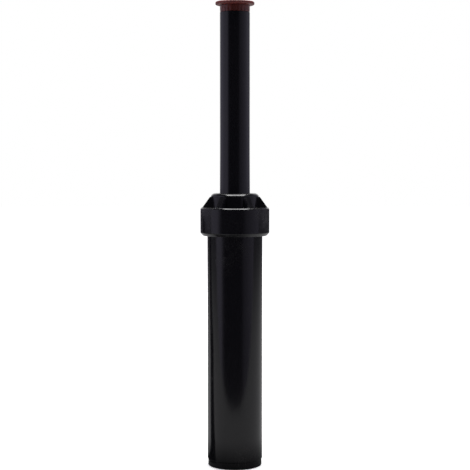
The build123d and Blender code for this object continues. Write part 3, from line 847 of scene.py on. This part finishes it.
mix = node(t, "ShaderNodeMixShader", {0: seen, 1: grey.outputs[0], 2: both.outputs[0]})
node(t, "ShaderNodeOutputMaterial", {"Surface": mix.outputs[0]})
floor.data.materials.append(paper)

world = bpy.data.worlds.new("studio")
bpy.context.scene.world = world
world.use_nodes = True
t = world.node_tree
t.nodes.clear()
way = node(
    t, "ShaderNodeSeparateXYZ", {"Vector": node(t, "ShaderNodeTexCoord").outputs["Generated"]},
)
back = node(t, "ShaderNodeMath", {0: way.outputs["Y"], 1: -1.0}, operation="MULTIPLY")
bearing = node(t, "ShaderNodeMath", {0: way.outputs["X"], 1: back.outputs[0]}, operation="ARCTAN2")
part_turn = node(
    t, "ShaderNodeMapRange",
    {"Value": bearing.outputs[0], "From Min": -math.pi, "From Max": math.pi},
)
bearings = (
    (-180, 0.12), (-150, 0.12), (-135, 0.3), (-114, 0.48), (-60, 0.46), (-50, 0.12), (-42, 0.04),
    (18, 0.04),
    (28, 0.05), (38, 0.15), (60, 0.24), (88, 0.34), (112, 0.42), (130, 0.26), (150, 0.12),
    (180, 0.12),
)
walls = ramp(
    t, part_turn.outputs["Result"], tuple(((b + 180) / 360, level) for b, level in bearings),
)
height = ramp(t, way.outputs["Z"], ((0.0, 1.0), (0.5, 1.0), (0.7, 0.06), (1.0, 0.06)), "EASE")
lit = node(
    t, "ShaderNodeMix", {"Factor": 1.0, "A": walls, "B": height}, data_type="RGBA",
    blend_type="MULTIPLY",
)
cool = (0.98, 0.93, 1.2, 1)
lit = node(
    t, "ShaderNodeMix", {"Factor": 1.0, "A": lit.outputs["Result"], "B": cool}, data_type="RGBA",
    blend_type="MULTIPLY",
)
behind = ramp(t, way.outputs["Y"], ((0.80, 0.0), (0.90, 1.0)))
lifted = node(t, "ShaderNodeMath", {0: way.outputs["Z"], 1: 1.0}, operation="ADD")
lifted = node(t, "ShaderNodeMath", {0: lifted.outputs[0], 1: 0.5}, operation="MULTIPLY")
upright = ramp(t, lifted.outputs[0], ((0.49, 0.0), (0.505, 1.0), (0.76, 1.0), (0.82, 0.0)))
paper_wall = node(t, "ShaderNodeMath", {0: behind, 1: upright}, operation="MULTIPLY")
lit = node(
    t, "ShaderNodeMix",
    {"Factor": paper_wall.outputs[0], "A": lit.outputs["Result"], "B": (1, 1, 1, 1)},
    data_type="RGBA",
)
surround = node(t, "ShaderNodeBackground", {"Color": lit.outputs["Result"], "Strength": 1.0})
white = node(t, "ShaderNodeBackground", {"Color": (1, 1, 1, 1), "Strength": 1.0})
seen = node(t, "ShaderNodeLightPath").outputs["Is Camera Ray"]
mix = node(t, "ShaderNodeMixShader", {0: seen, 1: surround.outputs[0], 2: white.outputs[0]})
node(t, "ShaderNodeOutputWorld", {"Surface": mix.outputs[0]})


def soft_box(name, at, wide, deep, brightness, aim=(0, 0, 0.2)):
    """Oblong soft light of those sides in metres, facing aim, as bright per area as asked."""
    lamp = bpy.data.lights.new(name, "AREA")
    lamp.shape, lamp.size, lamp.size_y = "RECTANGLE", wide, deep
    lamp.energy = brightness * math.pi * wide * deep
    obj = bpy.data.objects.new(name, lamp)
    bpy.context.scene.collection.objects.link(obj)
    away = np.array(at) - np.array(aim)
    obj.location = at
    obj.rotation_euler = (
        math.atan2(-away[1], away[2]), math.atan2(away[0], math.hypot(away[1], away[2])), 0,
    )
    return obj


OVERHEAD_AT, OVERHEAD_SIDE, OVERHEAD_BRIGHTNESS = (0.05, 0.3, 1.7), 1.35, 9.0
soft_box("overhead_box", OVERHEAD_AT, OVERHEAD_SIDE, OVERHEAD_SIDE, OVERHEAD_BRIGHTNESS)

# Painted shadow: the long soft shadow that the case throws to the left and back is laid as a dark
# strip that only shows in the gloss of the plastic.
strip = np.array(
    [
        (-0.03, 0.0, 0.018), (-0.10, 0.010, 0.024), (-0.62, 0.23, 0.13), (-1.72, 1.2, 0.28),
        (-4.2, 3.4, 0.7),
    ]
)
along = np.gradient(strip[:, :2], axis=0)
beside = np.stack(
    [-along[:, 1], along[:, 0]], -1,
) / np.linalg.norm(along, axis=1)[:, None] * strip[:, 2:]
edges = np.stack([strip[:, :2] + beside, strip[:, :2] - beside], 1).reshape(-1, 2)
corners = np.concatenate([edges, np.full((len(edges), 1), 0.0004)], 1)
mesh = bpy.data.meshes.new("long_shadow")
mesh.from_pydata(
    corners.tolist(), [], [(2 * i, 2 * i + 1, 2 * i + 3, 2 * i + 2) for i in range(len(strip) - 1)],
)
shadow = bpy.data.objects.new("long_shadow", mesh)
bpy.context.scene.collection.objects.link(shadow)
shadow.visible_camera = shadow.visible_diffuse = shadow.visible_shadow = False
painted_shadow = bpy.data.materials.new("shadow_black")
painted_shadow.use_nodes = True
t = painted_shadow.node_tree
t.nodes.clear()
nap = node(
    t, "ShaderNodeTexNoise",
    {"Vector": node(t, "ShaderNodeTexCoord").outputs["Object"], "Scale": 900.0},
)
dark = node(
    t, "ShaderNodeMapRange", {"Value": nap.outputs["Fac"], "To Min": 0.008, "To Max": 0.012},
)
matt = node(t, "ShaderNodeBsdfDiffuse", {"Color": dark.outputs["Result"]})
node(t, "ShaderNodeOutputMaterial", {"Surface": matt.outputs[0]})
shadow.data.materials.append(painted_shadow)

LENS_MM, SENSOR_MM, EYE_AT, EYE_DIP = 94.36, 36.0, (0.00008, -1.0, 0.2456), 3.285
eye = bpy.data.cameras.new("eye")
eye.lens, eye.sensor_width = LENS_MM, SENSOR_MM
camera = bpy.data.objects.new("eye", eye)
bpy.context.scene.collection.objects.link(camera)
camera.location = EYE_AT
camera.rotation_euler = (math.radians(90 - EYE_DIP), 0, 0)
bpy.context.scene.camera = camera
bpy.context.scene.view_settings.view_transform = "Standard"
